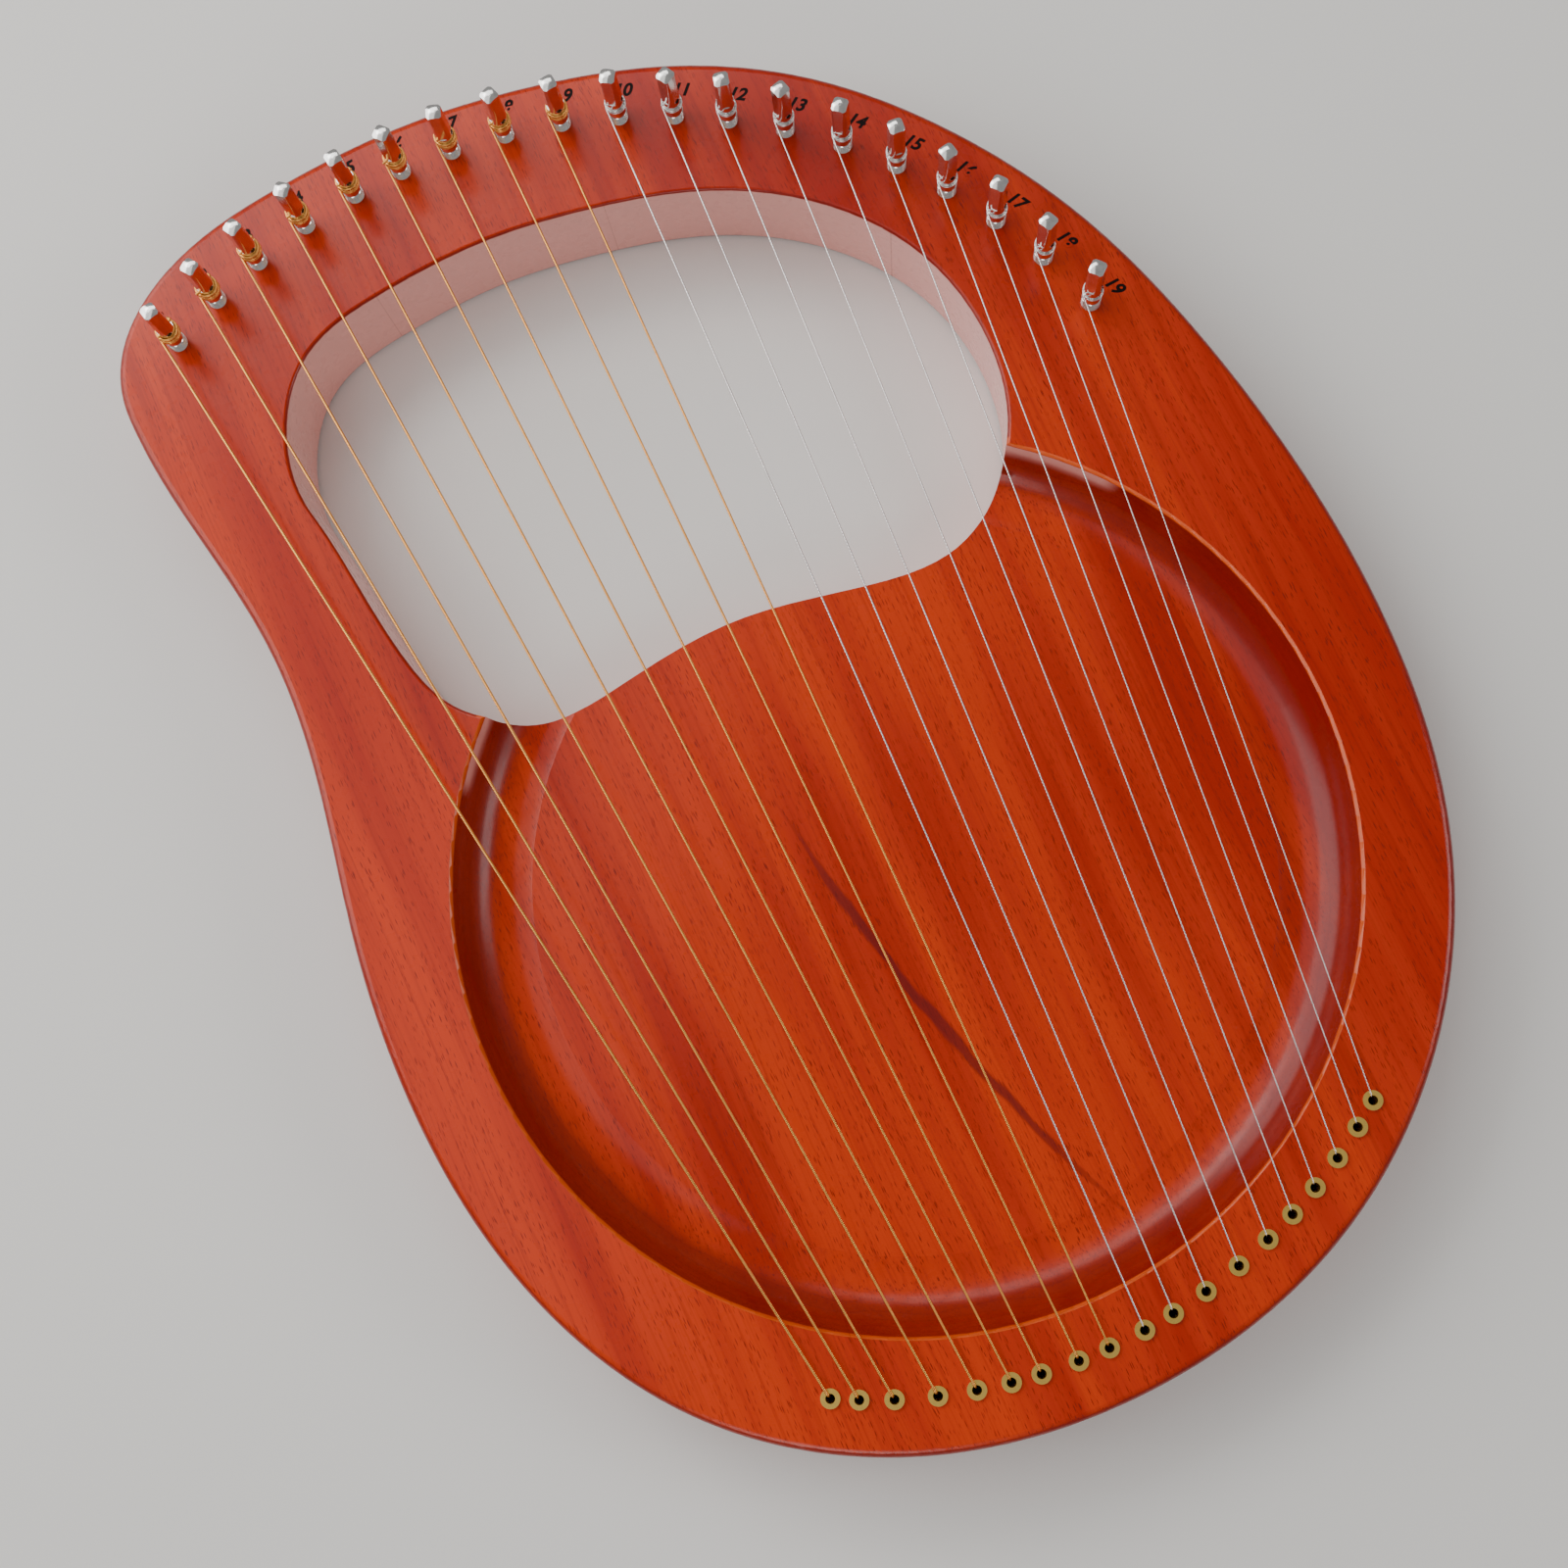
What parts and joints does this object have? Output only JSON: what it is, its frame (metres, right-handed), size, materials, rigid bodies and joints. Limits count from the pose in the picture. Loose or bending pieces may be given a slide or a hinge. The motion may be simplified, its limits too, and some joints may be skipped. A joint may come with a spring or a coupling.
{
  "type": "lyre harp",
  "caption": "Small lap lyre harp: kidney-shaped wooden body with an arched hand hole and a carved round dish, a row of tuning pins along the top, and strings anchored in brass ferrules.",
  "frame": {"origin": "centre of the outline in plan, on the flat back that the harp lies on", "axes": "+Y runs along the strings towards the tuning pins, +X towards the treble side, +Z out of the carved front"},
  "size_m": [0.2747, 0.3799, 0.0527],
  "materials": {
    "stained_wood": "glossy orange-red stained lacquer",
    "stained_wood_back": "satin orange-red stained lacquer",
    "nickel_plated_steel": "polished nickel plate",
    "brass": "polished",
    "bronze_wire": "bronze-wound string",
    "steel_wire": "plain steel string"
  },
  "bodies": {
    "harp": {"body": "stained_wood", "back_panel": "stained_wood_back", "string_ferrules": "brass", "string_01": "bronze_wire", "string_02": "bronze_wire", "string_03": "bronze_wire", "string_04": "bronze_wire", "string_05": "bronze_wire", "string_06": "bronze_wire", "string_07": "bronze_wire", "string_08": "bronze_wire", "string_09": "bronze_wire", "string_10": "steel_wire", "string_11": "steel_wire", "string_12": "steel_wire", "string_13": "steel_wire", "string_14": "steel_wire", "string_15": "steel_wire", "string_16": "steel_wire", "string_17": "steel_wire", "string_18": "steel_wire", "string_19": "steel_wire"},
    "pin_01": {"tuning_pin_01": "nickel_plated_steel", "string_coil_01": "bronze_wire"},
    "pin_02": {"tuning_pin_02": "nickel_plated_steel", "string_coil_02": "bronze_wire"},
    "pin_03": {"tuning_pin_03": "nickel_plated_steel", "string_coil_03": "bronze_wire"},
    "pin_04": {"tuning_pin_04": "nickel_plated_steel", "string_coil_04": "bronze_wire"},
    "pin_05": {"tuning_pin_05": "nickel_plated_steel", "string_coil_05": "bronze_wire"},
    "pin_06": {"tuning_pin_06": "nickel_plated_steel", "string_coil_06": "bronze_wire"},
    "pin_07": {"tuning_pin_07": "nickel_plated_steel", "string_coil_07": "bronze_wire"},
    "pin_08": {"tuning_pin_08": "nickel_plated_steel", "string_coil_08": "bronze_wire"},
    "pin_09": {"tuning_pin_09": "nickel_plated_steel", "string_coil_09": "bronze_wire"},
    "pin_10": {"tuning_pin_10": "nickel_plated_steel", "string_coil_10": "steel_wire"},
    "pin_11": {"tuning_pin_11": "nickel_plated_steel", "string_coil_11": "steel_wire"},
    "pin_12": {"tuning_pin_12": "nickel_plated_steel", "string_coil_12": "steel_wire"},
    "pin_13": {"tuning_pin_13": "nickel_plated_steel", "string_coil_13": "steel_wire"},
    "pin_14": {"tuning_pin_14": "nickel_plated_steel", "string_coil_14": "steel_wire"},
    "pin_15": {"tuning_pin_15": "nickel_plated_steel", "string_coil_15": "steel_wire"},
    "pin_16": {"tuning_pin_16": "nickel_plated_steel", "string_coil_16": "steel_wire"},
    "pin_17": {"tuning_pin_17": "nickel_plated_steel", "string_coil_17": "steel_wire"},
    "pin_18": {"tuning_pin_18": "nickel_plated_steel", "string_coil_18": "steel_wire"},
    "pin_19": {"tuning_pin_19": "nickel_plated_steel", "string_coil_19": "steel_wire"}
  },
  "joints": [
    {"name": "pin_01_turn", "type": "hinge", "parent": "harp", "child": "pin_01", "pos_m": [-0.11396, 0.15937, 0.03], "axis": [0, 0, -1], "range_deg": [-1080, 60]},
    {"name": "pin_02_turn", "type": "hinge", "parent": "harp", "child": "pin_02", "pos_m": [-0.09989, 0.16586, 0.03], "axis": [0, 0, -1], "range_deg": [-1080, 60]},
    {"name": "pin_03_turn", "type": "hinge", "parent": "harp", "child": "pin_03", "pos_m": [-0.08572, 0.17076, 0.03], "axis": [0, 0, -1], "range_deg": [-1080, 60]},
    {"name": "pin_04_turn", "type": "hinge", "parent": "harp", "child": "pin_04", "pos_m": [-0.07016, 0.17445, 0.03], "axis": [0, 0, -1], "range_deg": [-1080, 60]},
    {"name": "pin_05_turn", "type": "hinge", "parent": "harp", "child": "pin_05", "pos_m": [-0.0548, 0.17649, 0.03], "axis": [0, 0, -1], "range_deg": [-1080, 60]},
    {"name": "pin_06_turn", "type": "hinge", "parent": "harp", "child": "pin_06", "pos_m": [-0.04082, 0.17699, 0.03], "axis": [0, 0, -1], "range_deg": [-1080, 60]},
    {"name": "pin_07_turn", "type": "hinge", "parent": "harp", "child": "pin_07", "pos_m": [-0.02635, 0.17619, 0.03], "axis": [0, 0, -1], "range_deg": [-1080, 60]},
    {"name": "pin_08_turn", "type": "hinge", "parent": "harp", "child": "pin_08", "pos_m": [-0.01152, 0.17393, 0.03], "axis": [0, 0, -1], "range_deg": [-1080, 60]},
    {"name": "pin_09_turn", "type": "hinge", "parent": "harp", "child": "pin_09", "pos_m": [0.00349, 0.17011, 0.03], "axis": [0, 0, -1], "range_deg": [-1080, 60]},
    {"name": "pin_10_turn", "type": "hinge", "parent": "harp", "child": "pin_10", "pos_m": [0.01805, 0.1648, 0.03], "axis": [0, 0, -1], "range_deg": [-720, 60]},
    {"name": "pin_11_turn", "type": "hinge", "parent": "harp", "child": "pin_11", "pos_m": [0.03157, 0.15831, 0.03], "axis": [0, 0, -1], "range_deg": [-720, 60]},
    {"name": "pin_12_turn", "type": "hinge", "parent": "harp", "child": "pin_12", "pos_m": [0.04397, 0.15082, 0.03], "axis": [0, 0, -1], "range_deg": [-720, 60]},
    {"name": "pin_13_turn", "type": "hinge", "parent": "harp", "child": "pin_13", "pos_m": [0.0564, 0.14156, 0.03], "axis": [0, 0, -1], "range_deg": [-720, 60]},
    {"name": "pin_14_turn", "type": "hinge", "parent": "harp", "child": "pin_14", "pos_m": [0.06819, 0.13076, 0.03], "axis": [0, 0, -1], "range_deg": [-720, 60]},
    {"name": "pin_15_turn", "type": "hinge", "parent": "harp", "child": "pin_15", "pos_m": [0.0785, 0.11919, 0.03], "axis": [0, 0, -1], "range_deg": [-720, 60]},
    {"name": "pin_16_turn", "type": "hinge", "parent": "harp", "child": "pin_16", "pos_m": [0.08732, 0.10706, 0.03], "axis": [0, 0, -1], "range_deg": [-720, 60]},
    {"name": "pin_17_turn", "type": "hinge", "parent": "harp", "child": "pin_17", "pos_m": [0.09516, 0.0937, 0.03], "axis": [0, 0, -1], "range_deg": [-720, 60]},
    {"name": "pin_18_turn", "type": "hinge", "parent": "harp", "child": "pin_18", "pos_m": [0.10181, 0.07916, 0.03], "axis": [0, 0, -1], "range_deg": [-720, 60]},
    {"name": "pin_19_turn", "type": "hinge", "parent": "harp", "child": "pin_19", "pos_m": [0.10732, 0.06256, 0.03], "axis": [0, 0, -1], "range_deg": [-720, 60]}
  ]
}
